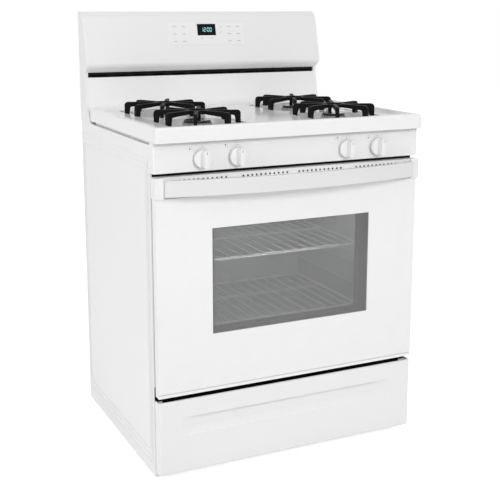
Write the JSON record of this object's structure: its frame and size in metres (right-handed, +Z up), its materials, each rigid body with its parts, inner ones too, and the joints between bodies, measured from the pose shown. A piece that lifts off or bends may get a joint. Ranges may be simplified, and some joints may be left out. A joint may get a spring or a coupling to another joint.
{
  "type": "freestanding gas range",
  "caption": "White freestanding gas range with cast-iron grates over twin wells, front knobs, a bow-handled oven door with window, a storage drawer and a sloped backguard with touch controls.",
  "frame": {"origin": "on the floor, under the middle of the whole range", "axes": "+Z up, the range faces -Y, +X to the right as seen from the front"},
  "size_m": [0.759, 0.6849, 1.191],
  "materials": {
    "white_enamel": "gloss",
    "white_plastic": "gloss",
    "white_printed_glass": "gloss",
    "clear_glass": "gloss",
    "white_painted_steel": "satin",
    "speckled_dark_enamel": "gloss",
    "cast_iron": "matte",
    "cast_aluminium": "satin",
    "galvanised_steel": "satin",
    "black_steel_pipe": "satin",
    "aluminium_tube": "satin",
    "brass": "satin",
    "bright_steel": "satin",
    "chrome_wire": "polished",
    "glass_wool": "matte",
    "woven_gasket": "matte",
    "white_ceramic": "gloss",
    "black_plastic": "matte",
    "grey_printed_film": "satin",
    "dark_display": "gloss",
    "circuit_board": "matte"
  },
  "bodies": {
    "range_body": {"backguard_console": "white_enamel", "backguard_end_caps": "white_plastic", "base_frame": "galvanised_steel", "body_screws": "bright_steel", "burner_caps": "cast_iron", "burner_electrodes": "white_ceramic", "burner_heads": "cast_aluminium", "burner_valves": "brass", "clock_display": "dark_display", "control_board": "circuit_board", "control_panel": "white_enamel", "cooktop": "white_enamel", "cord_grommet": "black_plastic", "drawer_rails": "galvanised_steel", "gas_manifold": "black_steel_pipe", "gas_tubes": "aluminium_tube", "hinge_receivers": "galvanised_steel", "left_side_panel": "white_enamel", "oven_burner": "bright_steel", "oven_floor_panel": "speckled_dark_enamel", "oven_flue": "galvanised_steel", "oven_gas_valve": "brass", "oven_gasket": "woven_gasket", "oven_igniter": "white_ceramic", "oven_insulation": "glass_wool", "oven_lamp": "clear_glass", "oven_liner": "speckled_dark_enamel", "oven_vent_trim": "black_plastic", "pressure_regulator": "cast_aluminium", "rear_panel": "galvanised_steel", "right_side_panel": "white_enamel", "temperature_sensor": "bright_steel", "touch_overlay": "grey_printed_film"},
    "oven_door": {"door_frame": "white_painted_steel", "door_glass": "white_printed_glass", "door_liner": "speckled_dark_enamel", "door_inner_glass": "clear_glass", "door_top_trim": "white_enamel", "door_handle": "white_enamel", "door_hinges": "galvanised_steel"},
    "storage_drawer": {"drawer_front": "white_enamel", "drawer_box": "galvanised_steel"},
    "oven_rack_lower": {"oven_rack_lower": "chrome_wire"},
    "oven_rack_upper": {"oven_rack_upper": "chrome_wire"},
    "valve_stem_front_left": {"valve_stem_front_left": "bright_steel"},
    "knob_front_left": {"knob_front_left": "white_plastic"},
    "grate_front_left": {"grate_front_left": "cast_iron"},
    "valve_stem_rear_left": {"valve_stem_rear_left": "bright_steel"},
    "knob_rear_left": {"knob_rear_left": "white_plastic"},
    "grate_rear_left": {"grate_rear_left": "cast_iron"},
    "valve_stem_rear_right": {"valve_stem_rear_right": "bright_steel"},
    "knob_rear_right": {"knob_rear_right": "white_plastic"},
    "grate_rear_right": {"grate_rear_right": "cast_iron"},
    "valve_stem_front_right": {"valve_stem_front_right": "bright_steel"},
    "knob_front_right": {"knob_front_right": "white_plastic"},
    "grate_front_right": {"grate_front_right": "cast_iron"},
    "levelling_leg_front_left": {"levelling_leg_front_left": "black_plastic"},
    "levelling_leg_front_right": {"levelling_leg_front_right": "black_plastic"},
    "levelling_leg_rear_left": {"levelling_leg_rear_left": "black_plastic"},
    "levelling_leg_rear_right": {"levelling_leg_rear_right": "black_plastic"}
  },
  "joints": [
    {"name": "oven_door_hinge", "type": "hinge", "parent": "range_body", "child": "oven_door", "pos_m": [0, -0.2655, 0.251], "axis": [1, 0, 0], "range_deg": [0, 90], "stiffness_Nm_per_rad": 15, "springref_deg": -17.19},
    {"name": "storage_drawer_slide", "type": "slide", "parent": "range_body", "child": "storage_drawer", "axis": [0, -1, 0], "range_m": [0, 0.4]},
    {"name": "oven_rack_lower_slide", "type": "slide", "parent": "range_body", "child": "oven_rack_lower", "axis": [0, -1, 0], "range_m": [0, 0.08]},
    {"name": "oven_rack_upper_slide", "type": "slide", "parent": "range_body", "child": "oven_rack_upper", "axis": [0, -1, 0], "range_m": [0, 0.08]},
    {"name": "valve_stem_front_left_push", "type": "slide", "parent": "range_body", "child": "valve_stem_front_left", "axis": [0, 1, 0], "range_m": [0, 0.003], "stiffness_N_per_m": 1500, "springref_m": -0.002},
    {"name": "knob_front_left_turn", "type": "hinge", "parent": "valve_stem_front_left", "child": "knob_front_left", "pos_m": [-0.252, -0.2975, 0.84], "axis": [0, 1, 0], "range_deg": [-240, 0]},
    {"name": "valve_stem_rear_left_push", "type": "slide", "parent": "range_body", "child": "valve_stem_rear_left", "axis": [0, 1, 0], "range_m": [0, 0.003], "stiffness_N_per_m": 1500, "springref_m": -0.002},
    {"name": "knob_rear_left_turn", "type": "hinge", "parent": "valve_stem_rear_left", "child": "knob_rear_left", "pos_m": [-0.157, -0.2975, 0.84], "axis": [0, 1, 0], "range_deg": [-240, 0]},
    {"name": "valve_stem_rear_right_push", "type": "slide", "parent": "range_body", "child": "valve_stem_rear_right", "axis": [0, 1, 0], "range_m": [0, 0.003], "stiffness_N_per_m": 1500, "springref_m": -0.002},
    {"name": "knob_rear_right_turn", "type": "hinge", "parent": "valve_stem_rear_right", "child": "knob_rear_right", "pos_m": [0.157, -0.2975, 0.84], "axis": [0, 1, 0], "range_deg": [-240, 0]},
    {"name": "valve_stem_front_right_push", "type": "slide", "parent": "range_body", "child": "valve_stem_front_right", "axis": [0, 1, 0], "range_m": [0, 0.003], "stiffness_N_per_m": 1500, "springref_m": -0.002},
    {"name": "knob_front_right_turn", "type": "hinge", "parent": "valve_stem_front_right", "child": "knob_front_right", "pos_m": [0.252, -0.2975, 0.84], "axis": [0, 1, 0], "range_deg": [-240, 0]},
    {"name": "grate_front_left_lift", "type": "slide", "parent": "range_body", "child": "grate_front_left", "axis": [0, 0, 1], "range_m": [0, 0.1]},
    {"name": "grate_rear_left_lift", "type": "slide", "parent": "range_body", "child": "grate_rear_left", "axis": [0, 0, 1], "range_m": [0, 0.1]},
    {"name": "grate_rear_right_lift", "type": "slide", "parent": "range_body", "child": "grate_rear_right", "axis": [0, 0, 1], "range_m": [0, 0.1]},
    {"name": "grate_front_right_lift", "type": "slide", "parent": "range_body", "child": "grate_front_right", "axis": [0, 0, 1], "range_m": [0, 0.1]},
    {"name": "levelling_leg_front_left_turn", "type": "hinge", "parent": "range_body", "child": "levelling_leg_front_left", "pos_m": [-0.3345, -0.2125, 0.024], "axis": [0, 0, 1], "continuous": true},
    {"name": "levelling_leg_front_right_turn", "type": "hinge", "parent": "range_body", "child": "levelling_leg_front_right", "pos_m": [0.3345, -0.2125, 0.024], "axis": [0, 0, 1], "continuous": true},
    {"name": "levelling_leg_rear_left_turn", "type": "hinge", "parent": "range_body", "child": "levelling_leg_rear_left", "pos_m": [-0.3345, 0.2843, 0.024], "axis": [0, 0, 1], "continuous": true},
    {"name": "levelling_leg_rear_right_turn", "type": "hinge", "parent": "range_body", "child": "levelling_leg_rear_right", "pos_m": [0.3345, 0.2843, 0.024], "axis": [0, 0, 1], "continuous": true}
  ]
}
